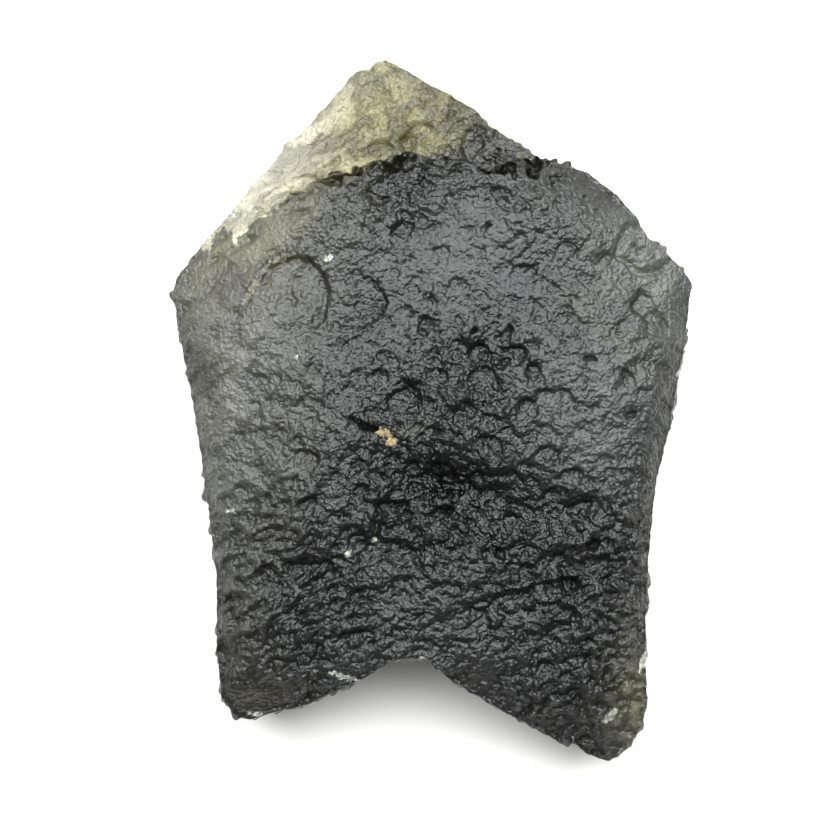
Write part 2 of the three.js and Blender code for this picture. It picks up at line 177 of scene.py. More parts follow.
# Flow of the etch relief in each area: x, y, reach, direction in degrees, ridge height, width across and
# length along a ridge, strength of the grain, height of fine striae.
FLOW = [
    (6.5, -9.0, 4.5, 14, 0.24, 1.7, 3.6, 0.9, 0.02),
    (0.75, -11.1, 2.6, 36, 0.16, 1.3, 3.2, 0.6, 0.1),
    (-8.0, -9.6, 4.5, 20, 0.2, 1.5, 2.4, 0.85, 0.02),
    (8.5, 8.9, 3.5, 50, 0.1, 1.6, 5.0, 0.4, 0.03),
    (4.2, 7.8, 1.8, 45, 0.04, 1.6, 5.0, 0.2, 0.13),
    (1.0, 7.6, 2.8, 24, 0.07, 1.7, 4.4, 0.25, 0.0),
    (-1.0, 10.9, 2.4, 20, 0.2, 1.1, 3.0, 0.85, 0.03),
    (5.5, 11.0, 2.2, 20, 0.16, 1.2, 4.0, 0.6, 0.06),
    (-7.5, 9.6, 3.0, 32, 0.16, 1.2, 4.6, 0.5, 0.07),
    (1.0, 0.4, 4.2, 340, 0.26, 1.5, 2.2, 0.8, 0.0),
    (0.5, -4.0, 3.2, 345, 0.38, 1.4, 2.6, 1.1, 0.0),
    (-9.0, 1.4, 5.0, 64, 0.1, 1.5, 2.2, 0.5, 0.0),
    (-6.8, 5.2, 2.0, 64, 0.05, 1.2, 1.2, 0.45, 0.0),
    (8.5, 1.5, 4.5, 20, 0.1, 1.5, 2.4, 0.35, 0.0),
    (-1.0, 4.8, 3.0, 20, 0.05, 1.6, 2.4, 0.35, 0.0),
    (7.2, -14.8, 2.6, 24, 0.16, 0.8, 2.2, 1.1, 0.06),
    (-3.0, 14.4, 3.5, 40, 0.36, 1.4, 2.2, 0.8, 0.02),
    (-8.8, -14.2, 1.6, 5, 0.05, 1.6, 3.0, 0.3, 0.0),
]
LEAN = 0.38
SMALLER = 0.45
STRIAE_LENGTH, STRIAE_WIDTH = 2.4, 0.28

# Drops, where the face falls away towards the notch and then slowly recovers: x, y, reach along, reach
# across, turn in degrees, fall.
DROPS = [
    (1.2, -3.3, 4.2, 1.2, -8, 1.05), (6.3, -4.5, 2.4, 0.5, -4, 0.4), (6.6, -7.2, 3.2, 0.45, 14, 0.35),
    (4.2, -9.0, 3.0, 0.5, 6, 0.3), (-3.6, -6.4, 3.0, 0.7, 18, 0.35), (-7.0, -7.6, 3.0, 0.5, 8, 0.25),
    (-4.5, -9.8, 3.6, 0.6, 24, 0.3), (-7.5, -11.6, 3.0, 0.5, 4, 0.25), (4.0, -11.4, 3.0, 0.5, 24, 0.3),
    (6.0, -12.3, 4.6, 0.7, 12, 0.35), (3.2, 2.6, 2.6, 0.6, -10, 0.2), (-2.4, 1.6, 2.4, 0.5, 10, 0.2),
]
RECOVERY = 2.2
DROP_WAVER = [(1.2, 0.5, 89)]

# Broad swell of the upper face, and the share of the etch relief that is left where the stone is thin.
SWELL_SIZE = 5.0
SWELL_HEIGHT = 0.3
FULL_ETCH_THICKNESS = 3.2
LEAST_ETCH = 0.2
LEAST_GRAIN = 0.75

# Lumps and grain of the underside.
LUMP_SIZE = 2.6
LUMP_HEIGHT = 0.32
UNDERSIDE_GRAIN = [(0.8, 0.12, 220), (0.4, 0.06, 223)]

# The rim: its rounding on the sides and in the notch, its knurls, and how far the wall is cut under.
SIDE_ROUNDING = 0.14
NOTCH_ROUNDING = 0.45
NOTCH_SIDE = (0.7, 0.85)
KNURL_SIZE = 1.6
KNURL_HEIGHT = 0.3
RIM_SQUARENESS = 0.6
RIM_LEAN = 0.4
UNDERCUT = 0.5
UNDERCUT_START = -0.6
OUTLINE_INSET = 0.05
OUTLINE_RAGGED = [(0.6, 0.05, 91), (0.25, 0.04, 92)]

# Relief of the side walls: size along the wall, size up it, and height.
WALL_HOLLOWS = (2.3, 2.0, 0.6)
HOLLOW_START = 0.1
WALL_RIDGES = [(1.1, 0.8, 0.42), (0.55, 0.4, 0.3)]
WALL_GRAIN = (0.27, 0.22, 0.1)
WALL_SET_BACK = 0.3
WALL_RELIEF_START = 0.5

# The skin is drawn from a ball cut into this many steps along each of its twenty faces.
BALL_STEPS = 170
UPPER_SHARE = 0.66
RIM_SHARE = 0.15
TRIANGLES = 196000

# Layers of chance. Each area of the flow takes one of its own, counted from these.
FLOW_LAYER = 20
SMALLER_LAYER = 40
STRIAE_LAYER = 160
LUMP_LAYER = 41
SWELL_LAYER = 61


def lerp(a, b, t):
    return a + (b - a) * t


def smooth(value, low, high):
    t = np.clip((value - low) / (high - low), 0, 1)
    return t * t * (3 - 2 * t)


def chance(i, j, k):
    """A number from 0 to 1 that looks random and is always the same for a place."""
    value = np.sin(i * 127.1 + j * 311.7 + k * 74.7) * 43758.5453
    return value - np.floor(value)


def fade(t):
    return t * t * t * (t * (t * 6 - 15) + 10)


def bumps(x, y, z):
    """Smooth bumps from -1 to 1, one unit apart."""
    i, j, k = np.floor(x), np.floor(y), np.floor(z)
    u, v, w = fade(x - i), fade(y - j), fade(z - k)

    def level(h):
        near = lerp(chance(i, j, h), chance(i + 1, j, h), u)
        far = lerp(chance(i, j + 1, h), chance(i + 1, j + 1, h), u)
        return lerp(near, far, v)

    return 2 * lerp(level(k), level(k + 1), w) - 1


def noise(u, v, layer):
    """Rounded noise from about -1 to 1, one unit apart, on a plane."""
    iu, iv = np.floor(u), np.floor(v)
    fu, fv = u - iu, v - iv

    def corner(a, b):
        turn = chance(iu + a, iv + b, layer) * 2 * np.pi
        return np.cos(turn) * (fu - a) + np.sin(turn) * (fv - b)

    near = lerp(corner(0, 0), corner(1, 0), fade(fu))
    far = lerp(corner(0, 1), corner(1, 1), fade(fu))
    return 1.5 * lerp(near, far, fade(fv))


def pebbles(u, v, layer):
    """Rounded grains with sharp creases between them, from about -0.5 to 1."""
    return 2.2 * np.abs(noise(u, v, layer)) - 0.6


def leaning(u, v, layer):
    """Noise whose crests lean over, so that each is steep on the side of lower v."""
    return noise(u, v + LEAN * noise(u, v, layer), layer)


def waves(x, y, rows):
    """Noises of several sizes laid over each other: size, height and layer of each."""
    return sum(height * noise(x / size, y / size, layer) for size, height, layer in rows)


def along_across(x, y, turn):
    """The same place along and across a direction in degrees."""
    c, s = np.cos(np.radians(turn)), np.sin(np.radians(turn))
    return x * c + y * s, y * c - x * s


def lead_at(x, y, radius):
    """Share from 0 at the gentle side of a pit to 1 at its steep side."""
    return 0.5 + 0.5 * np.clip((x * LEAD[0] + y * LEAD[1]) / radius, -1, 1)


def lower_of(a, b, crease):
    """The lower of two heights, with a soft crease where they meet."""
    h = np.maximum(crease - np.abs(a - b), 0) / crease
    return np.minimum(a, b) - h * h * crease / 4


def facet_at(facet, x, y, sense=-1):
    """Height of a facet, which falls towards its bearing, or rises where the sense is 1."""
    px, py, pz, bearing, slope = facet
    along = (x - px) * np.cos(np.radians(bearing)) + (y - py) * np.sin(np.radians(bearing))
    return pz + sense * along * np.tan(np.radians(slope))


def upper_form(x, y):
    """Height of the upper side's facets, shelf and ledge, without the etch relief."""
    face = facet_at(UPPER_FACETS[0], x, y)
    for facet in UPPER_FACETS[1:]:
        face = lower_of(face, facet_at(facet, x, y), UPPER_CREASE)
    shelf = lower_of(face, facet_at(SHELF, x, y), UPPER_CREASE)
    past = y - np.interp(x, LEDGE[:, 0], LEDGE[:, 1]) + waves(x, y, LEDGE_RAGGED)
    width = lerp(1, LEDGE_FADE, smooth(-x, *LEDGE_FADE_RANGE))
    share = smooth(past, LEDGE_HEAD * width, LEDGE_FOOT * width)
    steps = noise(x / STEP_SIZE, STEPS_DOWN * share + y / STEP_SIZE, 73)
    steps += FINE_STEP_SHARE * noise(x / FINE_STEP_SIZE, FINE_STEPS_DOWN * share, 74)
    past += LEDGE_STEPS * steps
    return lerp(face, shelf, smooth(past, LEDGE_HEAD * width, LEDGE_FOOT * width))


def lower_form(x, y):
    """Height of the underside's facets, without its relief."""
    face = -facet_at(LOWER_FACETS[0], x, y, 1)
    for facet in LOWER_FACETS[1:]:
        face = lower_of(face, -facet_at(facet, x, y, 1), LOWER_CREASE)
    return -face


def wandered(x, y):
    """The same place, shifted a little, so that no pit is a true circle."""
    return x + waves(x, y, WANDER_X), y + waves(x, y, WANDER_Y)


def pits_at(x, y):
    deepest = np.zeros_like(x)
    for px, py, radius, depth, stretch, turn in PITS:
        along, across = along_across(x - px, y - py, turn)
        reach = np.hypot(along / stretch, across) / radius
        lead = lerp(PIT_HEEL, 1, lead_at(along, across, radius))
        deepest = np.maximum(deepest, depth * lead * smooth(1 - reach, 0, PIT_WALL))
    return deepest


def drops_at(x, y):
    height = np.zeros_like(x)
    for dx, dy, along, across, turn, fall in DROPS:
        u, v = along_across(x - dx, y - dy, turn)
        v = v + waves(u, v, DROP_WAVER)
        past = np.maximum(0, -v) / RECOVERY
        height -= fall * smooth(-v, -across, across) * np.exp(-((u / along) ** 2) - past * past)
    return height


def rings_at(x, y):
    deepest = np.zeros_like(x)
    for px, py, radius in RINGS:
        off = (np.hypot(x - px, y - py) - radius) / RING_WIDTH
        lead = lerp(RING_HEEL, 1, lead_at(x - px, y - py, radius))
        deepest = np.maximum(deepest, RING_DEPTH * lead * np.exp(-off * off))
    return deepest


def dishes_at(x, y):
    deepest = np.zeros_like(x)
    for dx, dy, radius, depth, floor, bearing in DISHES:
        reach = np.hypot(x - dx, y - dy) / radius
        facing = np.cos(np.arctan2(y - dy, x - dx) - np.radians(bearing))
        waver = noise(x / DISH_WAVER_SIZE + dx, y / DISH_WAVER_SIZE + dy, 87)
        reach = reach * (1 + DISH_WAVER * waver)
        moat = depth * (MOAT_MEAN + MOAT_SWING * facing) * smooth(1 - reach, 0, DISH_WALL)
        deepest = np.maximum(deepest, moat - floor * (1 - smooth(reach, *DISH_FLOOR_EDGE)))
    return deepest


def scatter_at(x, y, level):
    cell, least, most, depth, layer = level
    ci, cj = np.floor(x / cell), np.floor(y / cell)
    deepest = np.zeros_like(x)
    for di in (-1, 0, 1):
        for dj in (-1, 0, 1):
            i, j = ci + di, cj + dj
            px, py = (i + chance(i, j, layer)) * cell, (j + chance(i, j, layer + 1)) * cell
            scooped = chance(i, j, layer + 3) < SCOOPED_SHARE
            radius = cell * lerp(least, most, chance(i, j, layer + 2))
            reach = np.hypot(x - px, y - py) / radius
            scoop = depth * radius * lead_at(x - px, y - py, radius) * smooth(1 - reach, 0, SCOOP_WALL)
            deepest = np.maximum(deepest, scooped * scoop)
    return deepest


# Grain between the ridges: kind of noise, length, width, height, layer, and how many times the area's own
# strength of grain counts in its height.
GRAIN = [
    (leaning, 1.0, 0.7, 0.25, 100, 1),
    (pebbles, 0.85, 0.62, 0.24, 120, 2),
    (pebbles, 0.42, 0.34, 0.09, 140, 2),
    (noise, 0.32, 0.28, 0.02, 180, 0),
]


def flow_at(x, y):
    """Height of the flow ridges and grain, and the grain's strength, which differ in each area."""
    height, strength, shares = np.zeros_like(x), np.zeros_like(x), np.zeros_like(x)
    for n, (fx, fy, reach, direction, ridge, across, along, grain, striae) in enumerate(FLOW):
        share = np.exp(-((x - fx) ** 2 + (y - fy) ** 2) / reach ** 2) + 1e-9
        u, v = along_across(x, y, direction)
        rise = ridge * leaning(u / along, v / across, FLOW_LAYER + n)
        smaller = leaning(u / (SMALLER * along), v / (SMALLER * across), SMALLER_LAYER + n)
        rise += SMALLER * ridge * smaller
        for kind, length, width, grain_height, layer, times in GRAIN:
            rise += grain_height * grain ** times * kind(u / length, v / width, layer + n)
        rise += striae * noise(u / STRIAE_LENGTH, v / STRIAE_WIDTH, STRIAE_LAYER + n)
        height += share * rise
        strength += share * grain
        shares += share
    return height / shares, strength / shares


def etch_at(x, y):
    """Share of the etch relief, less where the stone is thin."""
    return np.clip((upper_form(x, y) - lower_form(x, y)) / FULL_ETCH_THICKNESS, LEAST_ETCH, 1)


def upper_face(x, y):
    """Height of the upper side with all its relief."""
    wx, wy = wandered(x, y)
    relief, strength = flow_at(x, y)
    cut = np.maximum(pits_at(wx, wy), dishes_at(wx, wy))
    for level in SCATTER:
        cut = np.maximum(cut, lerp(LEAST_SCOOP, 1, strength) * scatter_at(wx, wy, level))
    cut += rings_at((x + wx) / 2, (y + wy) / 2)
    swell = SWELL_HEIGHT * bumps(x / SWELL_SIZE, y / SWELL_SIZE, SWELL_LAYER)
    etch = etch_at(x, y)
    coarse = swell + drops_at(x, y) - cut
    return upper_form(x, y) + etch * coarse + np.maximum(etch, LEAST_GRAIN) * relief


def underside(x, y):
    lumps = LUMP_HEIGHT * bumps(x / LUMP_SIZE, y / LUMP_SIZE, LUMP_LAYER)
    relief = lumps + scatter_at(x, y, SCATTER[0]) + waves(x, y, UNDERSIDE_GRAIN)
    return np.maximum(0, lower_form(x, y) + etch_at(x, y) * relief)


# The outline as a distance in each direction, and the face's area swept by a turn from -X.
TURNS = np.linspace(-np.pi, np.pi, 7201)


def reach_of_outline():
    ahead = np.roll(OUTLINE, -1, 0)
    c, s = np.cos(TURNS)[:, None], np.sin(TURNS)[:, None]
    a = OUTLINE[:, 1] * c - OUTLINE[:, 0] * s
    b = ahead[:, 1] * c - ahead[:, 0] * s
    t = np.divide(a, a - b, out=np.zeros_like(a), where=a != b)
    met = lerp(OUTLINE[:, 0], ahead[:, 0], t) * c + lerp(OUTLINE[:, 1], ahead[:, 1], t) * s
    return np.where((a * b <= 0) & (met > 0), met, 0).max(1)


REACH = reach_of_outline()
SWEPT = np.concatenate(([0], np.cumsum((REACH[1:] ** 2 + REACH[:-1] ** 2) / 2)))


def ball():
    """Points and triangles of a unit ball made of twenty finely cut faces."""
    g = (1 + 5 ** 0.5) / 2
    corners = np.array([
        (-1, g, 0), (1, g, 0), (-1, -g, 0), (1, -g, 0), (0, -1, g), (0, 1, g),
        (0, -1, -g), (0, 1, -g), (g, 0, -1), (g, 0, 1), (-g, 0, -1), (-g, 0, 1),
    ])
    faces = [
        (0, 11, 5), (0, 5, 1), (0, 1, 7), (0, 7, 10), (0, 10, 11), (1, 5, 9), (5, 11, 4),
        (11, 10, 2), (10, 7, 6), (7, 1, 8), (3, 9, 4), (3, 4, 2), (3, 2, 6), (3, 6, 8),
        (3, 8, 9), (4, 9, 5), (2, 4, 11), (6, 2, 10), (8, 6, 7), (9, 8, 1),
    ]
    n = BALL_STEPS
    rows = np.array([(a, b) for a in range(n + 1) for b in range(n + 1 - a)])
    number = {(a, b): k for k, (a, b) in enumerate(map(tuple, rows))}
    cells = [(number[a, b], number[a + 1, b], number[a, b + 1]) for a in range(n) for b in range(n - a)]
    cells += [
        (number[a + 1, b], number[a + 1, b + 1], number[a, b + 1])
        for a in range(n) for b in range(n - 1 - a)
    ]
    cells = np.array(cells)
    points, triangles = [], []
    for k, (p, q, r) in enumerate(faces):
        share = rows / n
        points.append(
            corners[p] * (1 - share.sum(1))[:, None] + corners[q] * share[:, :1] + corners[r] * share[:, 1:]
        )
        triangles.append(cells + k * len(rows))
    points = np.concatenate(points)
    points /= np.linalg.norm(points, axis=1)[:, None]
    _, first, same = np.unique(np.round(points * 1e5).astype(np.int64), axis=0,
                               return_index=True, return_inverse=True)
    return points[first], same.ravel()[np.concatenate(triangles)]


def wall_relief(x, y, z):
    """Hollows, ridges and grain on the side walls, mostly cut inwards."""
    size, rise, height = WALL_HOLLOWS
    relief = height * np.minimum(0, bumps(x / size, y / size, z / rise) - HOLLOW_START)
    for size, rise, height in WALL_RIDGES:
        relief += height * np.abs(bumps(x / size, y / size, z / rise))
    size, rise, height = WALL_GRAIN
    return relief + height * bumps(x / size, y / size, z / rise) - WALL_SET_BACK


def stone_points(points):
    """Moves the ball's points to the skin.

    The ball's cap becomes the upper face, a band below it the rim, and the rest the underside.
    """
    upper_end = 1 - 2 * UPPER_SHARE
    lower_end = upper_end - 2 * RIM_SHARE
    swept = (np.arctan2(points[:, 1], points[:, 0]) + np.pi) / (2 * np.pi) * SWEPT[-1]
    turn = np.interp(swept, SWEPT, TURNS)
    c, s = np.cos(turn), np.sin(turn)
    edge = np.interp(turn, TURNS, REACH)
    edge = edge - OUTLINE_INSET + waves(edge * c, edge * s, OUTLINE_RAGGED)
    rounding = lerp(SIDE_ROUNDING, NOTCH_ROUNDING, smooth(-s, *NOTCH_SIDE))
    shoulder = edge - rounding
    place = points[:, 2]
    upper, under = place >= upper_end, place <= lower_end
    rim = ~(upper | under)
    radius = np.where(upper, np.sqrt((1 - place) / (1 - upper_end)), 0)
    radius = np.where(under, np.sqrt((1 + place) / (1 + lower_end)), radius)
    radius = np.where(rim, 1, radius) * np.where(under, shoulder - UNDERCUT, shoulder)
    x, y = radius * c, radius * s
    z = np.zeros_like(x)
    z[upper] = upper_face(x[upper], y[upper])
    z[under] = underside(x[under], y[under])
    foot = shoulder[rim] - UNDERCUT
    top, bottom = upper_face(x[rim], y[rim]), underside(foot * c[rim], foot * s[rim])
    turned = ((place[rim] - lower_end) / (upper_end - lower_end) - 0.5) * np.pi
    z[rim] = bottom + (top - bottom) * (0.5 + 0.5 * np.sin(turned)) ** RIM_LEAN
    ex, ey = edge[rim] * c[rim], edge[rim] * s[rim]
    knurl = KNURL_HEIGHT * np.abs(bumps(ex / KNURL_SIZE, ey / KNURL_SIZE, z[rim] / KNURL_SIZE))
    round_off = np.maximum(0, np.cos(turned)) ** RIM_SQUARENESS
    below = smooth(top - z[rim], 0, WALL_RELIEF_START) * np.minimum(1, round_off * 2)
    out = shoulder[rim] + rounding[rim] * (1 - knurl) * round_off
    out += below * wall_relief(ex, ey, z[rim]) - UNDERCUT * smooth(-turned, UNDERCUT_START, np.pi / 2)
    x[rim], y[rim] = out * c[rim], out * s[rim]
    return np.stack((x, y, z), 1)


def fit_to_box(stone):
    """Stretches the skin to the solid's own box."""
    points = places_of(stone)
    low, high = (np.array(corner) for corner in CAD_BOX)
    small, large = points.min(0), points.max(0)
    points = low + (points - small) / (large - small) * (high - low)
    stone.data.vertices.foreach_set("co", points.astype(np.float32).ravel())
    stone.data.update()


def places_of(stone):
    places = np.empty(len(stone.data.vertices) * 3, np.float32)
    stone.data.vertices.foreach_get("co", places)
    return places.reshape(-1, 3).astype(float)


def mesh_object(name, points, triangles):
    mesh = bpy.data.meshes.new(name)
    mesh.vertices.add(len(points))
    mesh.vertices.foreach_set("co", points.astype(np.float32).ravel())
    mesh.loops.add(triangles.size)
    mesh.loops.foreach_set("vertex_index", triangles.astype(np.int32).ravel())
    mesh.polygons.add(len(triangles))
    mesh.polygons.foreach_set("loop_start", np.arange(0, triangles.size, 3, dtype=np.int32))
    mesh.update(calc_edges=True)
    mesh.validate()
    obj = bpy.data.objects.new(name, mesh)
    bpy.context.collection.objects.link(obj)
    return obj


def reduced(obj, triangles):
    """The same skin with fewer triangles where it is smooth."""
    thin = obj.modifiers.new("thin_out", "DECIMATE")
    thin.ratio = triangles / len(obj.data.polygons)
    bpy.context.view_layer.update()
    mesh = bpy.data.meshes.new_from_object(obj.evaluated_get(bpy.context.evaluated_depsgraph_get()))
    obj.modifiers.clear()
    obj.data = mesh
    return obj


def linear(colour):
    """An sRGB hex colour as the linear values that the shader takes."""
    parts = [int(colour[k:k + 2], 16) / 255 for k in (1, 3, 5)]
    return (*(v / 12.92 if v <= 0.04045 else ((v + 0.055) / 1.055) ** 2.4 for v in parts), 1)


def add(tree, kind, settings=None, **links):
    """Adds a shader node, sets its properties and inputs, and links the inputs given as sockets."""
    node = tree.nodes.new(kind)
    for name, value in (settings or {}).items():
        if name in node.inputs:
            node.inputs[name].default_value = value
        else:
            setattr(node, name, value)
    for name, socket in links.items():
        tree.links.new(socket, node.inputs[name.replace("_", " ")])
    return node


# Soft patches on the skin: x, y, reach along and across, turn of the long side, colour, strength. Most of
# them paint light and shade, as said above each row; the rest are tints.
PATCHES_OF_TINT_AND_PAINTED_LIGHT = [
    # Painted glow of light that comes in through the left side.
    (-9.6, 2.0, 3.4, 6.5, 0, "#f0efdc", 0.8), (-8.6, 8.0, 4.6, 2.8, 48, "#f0eccc", 0.9),
    # Painted sheen on the upper right and on the right of the middle.
    (10.6, 6.8, 2.6, 2.4, -45, "#e8e9de", 0.8), (8.5, -0.6, 3.4, 3.4, 0, "#c4c8c4", 0.5),
    # A lighter olive grey in the left dish, and painted sheen on the upper middle.
    (-6.6, 5.2, 1.7, 1.7, 0, "#7e7c66", 0.5), (2.0, 8.6, 5.0, 2.4, 25, "#a8aaa4", 0.35),
    # On the shelf and at the point: the pale olive and cream patches paint the glow of light through the
    # thin glass, and the dark and dark olive ones on and round the shelf's pits paint shade in them.
    (-1.2, 16.4, 2.2, 0.9, 0, "#7c765c", 0.9), (3.0, 13.2, 2.8, 1.3, -36, "#34352c", 0.95),
    (-2.7, 12.6, 1.0, 0.6, 0, "#2e2c20", 0.9), (-0.9, 13.4, 1.2, 1.2, 0, "#6e6c40", 0.7),
    (-0.4, 14.1, 0.8, 0.22, -40, "#bdb48c", 0.8), (-7.3, 12.2, 4.6, 0.75, 47, "#c4bea8", 1.3),
    (-4.2, 11.5, 2.2, 0.45, 22, "#b5aa7c", 1.0), (-2.9, 15.2, 1.3, 0.9, 20, "#b0a67a", 0.8),
    (-8.6, 5.9, 1.4, 0.35, 62, "#4c4226", 1.0), (-7.3, 7.15, 0.9, 0.35, 25, "#4c4226", 1.0),
    # Painted highlight along the right side of the leg.
    (10.0, -14.6, 1.0, 2.6, 0, "#d0ccaa", 0.9),
    # Painted shade on the drop, whose slopes face away from the window.
    (0.5, -4.0, 3.6, 1.4, -8, "#060708", 0.9), (5.0, -6.2, 3.5, 1.0, 8, "#0a0b0c", 0.7),
    # Painted reflection of light on the side walls at the left and the right.
    (-10.4, -4.5, 1.4, 4.0, 8, "#c8cabc", 0.6), (11.9, 4.0, 0.8, 3.5, 8, "#d0d2c8", 0.5),
    # A lighter olive grey along the splinter by the stained grain, and painted glow in the lower left
    # corner.
    (-1.0, -1.3, 1.0, 0.3, 20, "#5f6350", 1.0), (-8.6, -14.3, 1.8, 0.5, 5, "#77713f", 0.8),
    # Painted glow in the lower left, and a lighter olive streak on the right.
    (-9.2, -10.4, 1.0, 2.4, 10, "#85856a", 0.6), (9.0, 3.2, 2.6, 0.8, -40, "#a3a07e", 0.5),
]
PATCH_WAVER = [(0.9, 0.3, 95)]
BODY = "#3e403b"
# Olive of the thin glass, lightened to paint the glow of light that passes through it.
THIN_GLASS_GLOW = "#807a58"
# Thickness over which the glass turns from body to thin, and where along y the shelf sets in.
THIN_RANGE = (4.4, 2.6)
SHELF_START = (6.0, 10.0)
# Hollows of the relief get painted shade, fully so from this depth on.
PAINTED_SHADE_DEPTH = 0.07
PAINTED_SHADE_TONE = 0.5
PAINTED_SHADE_WAVER = [(2.2, 0.1, 97)]
# Share of the skin's fine grain on its smoothest areas.
LEAST_FROST = 0.45


def skin_tone_and_painted_light(x, y):
    """Colour of the frosted skin, with light and shade painted in: dark on the thick body, olive and cream
    where the glass thins out, lightened there by painted glow, with patches of tint and of painted glow,
    sheen, reflection, highlight and shade, and with painted shade in the hollows of the relief.
    """
    tone = lerp(np.array(linear(BODY)), np.array(linear(THIN_GLASS_GLOW)), thinned_at(x, y)[:, None])
    # Patches of tint and of painted glow, sheen, reflection, highlight and shade.
    for px, py, along, across, turn, colour, strength in PATCHES_OF_TINT_AND_PAINTED_LIGHT:
        u, v = along_across(x - px, y - py, turn)
        share = strength * np.exp(-((u / along) ** 2) - (v / across) ** 2)
        share = np.clip(share * (1 + waves(x, y, PATCH_WAVER)), 0, 1)[:, None]
        tone = lerp(tone, np.array(linear(colour)), share)
    relief, strength = flow_at(x, y)
    # Painted shade: the hollows of the relief are darkened.
    shade = smooth(relief - waves(x, y, PAINTED_SHADE_WAVER), -PAINTED_SHADE_DEPTH, PAINTED_SHADE_DEPTH)
    tone[:, :3] *= lerp(PAINTED_SHADE_TONE, 1, shade)[:, None]
    tone[:, 3] = np.clip(LEAST_FROST + (1 - LEAST_FROST) * strength, 0, 1)
    return tone


# Small spots where the skin is chipped, and one where a stained grain shows: x, y, reach along and across,
# turn of the long side.
CHIPS = [
    (-5.0, 7.2, 0.22, 0.12, 20), (-6.55, 2.25, 0.12, 0.1, 0), (-4.0, -7.35, 0.2, 0.11, 40),
    (-2.75, -6.7, 0.12, 0.1, 0), (8.9, -15.3, 0.5, 0.2, 38), (10.5, -12.6, 0.55, 0.16, 75),
    (12.3, 1.65, 0.25, 0.12, 60), (-9.85, -5.25, 0.2, 0.1, 0), (-0.4, -12.45, 0.16, 0.13, 0),
    (-9.9, 9.6, 0.3, 0.12, 45), (-11.0, 8.3, 0.25, 0.1, 45), (-4.1, -13.4, 0.95, 0.14, -18),
    (-8.6, -15.2, 0.45, 0.1, 5),
]
STAINED = [(-2.3, -1.5, 0.44, 0.2, -18), (-1.9, -1.9, 0.28, 0.17, 30)]
SPLINTERS = [(-0.9, -1.35, 0.85, 0.2, 18), (-8.6, 5.9, 1.15, 0.15, 62), (-7.3, 7.15, 0.65, 0.14, 25)]
SPOT_RAGGED_SIZE, SPOT_RAGGED_SHIFT = 0.24, 0.12
# Share of thin glass from which a face gets the thin material, and the raggedness of that line.
THIN_START = 0.55
THIN_RAGGED = [(0.9, 0.3, 93), (0.35, 0.3, 94)]
# Faces count as upper ones where the upward part of their normal is more than this.
FACING_UP = 0.35


def spots_at(x, y, spots):
    """True inside the ragged spots."""
    wx = x + SPOT_RAGGED_SHIFT * noise(x / SPOT_RAGGED_SIZE, y / SPOT_RAGGED_SIZE, 98)
    wy = y + SPOT_RAGGED_SHIFT * noise(x / SPOT_RAGGED_SIZE, y / SPOT_RAGGED_SIZE, 99)
    inside = np.zeros(x.shape, bool)
    for px, py, along, across, turn in spots:
        u, v = along_across(wx - px, wy - py, turn)
        inside |= np.hypot(u / along, v / across) < 1
    return inside


def thinned_at(x, y):
    """Share of thin glass, from 0 on the body to 1 on the shelf and its edge."""
    thick = upper_form(x, y) - lower_form(x, y)
    return smooth(-thick, -THIN_RANGE[0], -THIN_RANGE[1]) * smooth(y, *SHELF_START)


def assign_spots(stone):
    """Gives the thin, chipped and stained faces of the upper side their own materials."""
    mesh = stone.data
    mesh.materials.append(thin_glass_material())
    mesh.materials.append(crushed_material())
    mesh.materials.append(stained_material())
    centres, normals = np.empty(len(mesh.polygons) * 3), np.empty(len(mesh.polygons) * 3)
    mesh.polygons.foreach_get("center", centres)
    mesh.polygons.foreach_get("normal", normals)
    x, y, _ = (centres.reshape(-1, 3) / MM).T
    upper = normals.reshape(-1, 3)[:, 2] > FACING_UP
    thin = (thinned_at(x, y) > THIN_START + waves(x, y, THIN_RAGGED)) | spots_at(x, y, SPLINTERS)
    which = np.where(thin & upper, 1, 0)
    which = np.where(spots_at(x, y, CHIPS) & upper, 2, which)
    which = np.where(spots_at(x, y, STAINED) & upper, 3, which)
    mesh.polygons.foreach_set("material_index", which.astype(np.int32))


def paint_skin(stone):
    x, y, _ = (places_of(stone) / MM).T
    # The skin's tone, with its painted light and shade, is kept on each point.
    tone = stone.data.color_attributes.new("skin_tone_and_painted_light", "FLOAT_COLOR", "POINT")
    tone.data.foreach_set("color", skin_tone_and_painted_light(x, y).astype(np.float32).ravel())


# Depth of the hollows between a rough skin's grains, as a part of their size.
GRAIN_HOLLOW = 0.4


def plain_skin(name, light, dark, size, roughness):
    """A rough mineral skin, mottled between two colours, with grains of the given size."""
    material = bpy.data.materials.new(name)
    material.use_nodes = True
    tree = material.node_tree
    tree.nodes.clear()
    place = add(tree, "ShaderNodeTexCoord").outputs["Object"]
    grains = add(tree, "ShaderNodeTexVoronoi", {"Scale": 1 / size}, Vector=place)
    ramp = add(tree, "ShaderNodeValToRGB", Fac=grains.outputs["Distance"])
    ramp.color_ramp.elements[0].color = linear(light)
    ramp.color_ramp.elements[1].color = linear(dark)
    bump = add(tree, "ShaderNodeBump", {"Distance": GRAIN_HOLLOW * size}, Height=grains.outputs["Distance"])
    skin = add(tree, "ShaderNodeBsdfPrincipled", {"Roughness": roughness},
               Base_Color=ramp.outputs["Color"], Normal=bump.outputs["Normal"])
    out = add(tree, "ShaderNodeOutputMaterial")
    tree.links.new(skin.outputs["BSDF"], out.inputs["Surface"])
    return material


def crushed_material():
    # Glass chipped not long ago and crushed at the surface: its powder scatters all light, which gives the
    # eye a pale grey spot with grey flecks. The powder's grains of some hundredths of a millimetre can't
    # show in the render, so they are drawn 0.2 mm wide.
    return plain_skin("freshly_chipped_crushed_glass", "#bfc1b2", "#4c4f44", 0.2 * MM, 0.35)


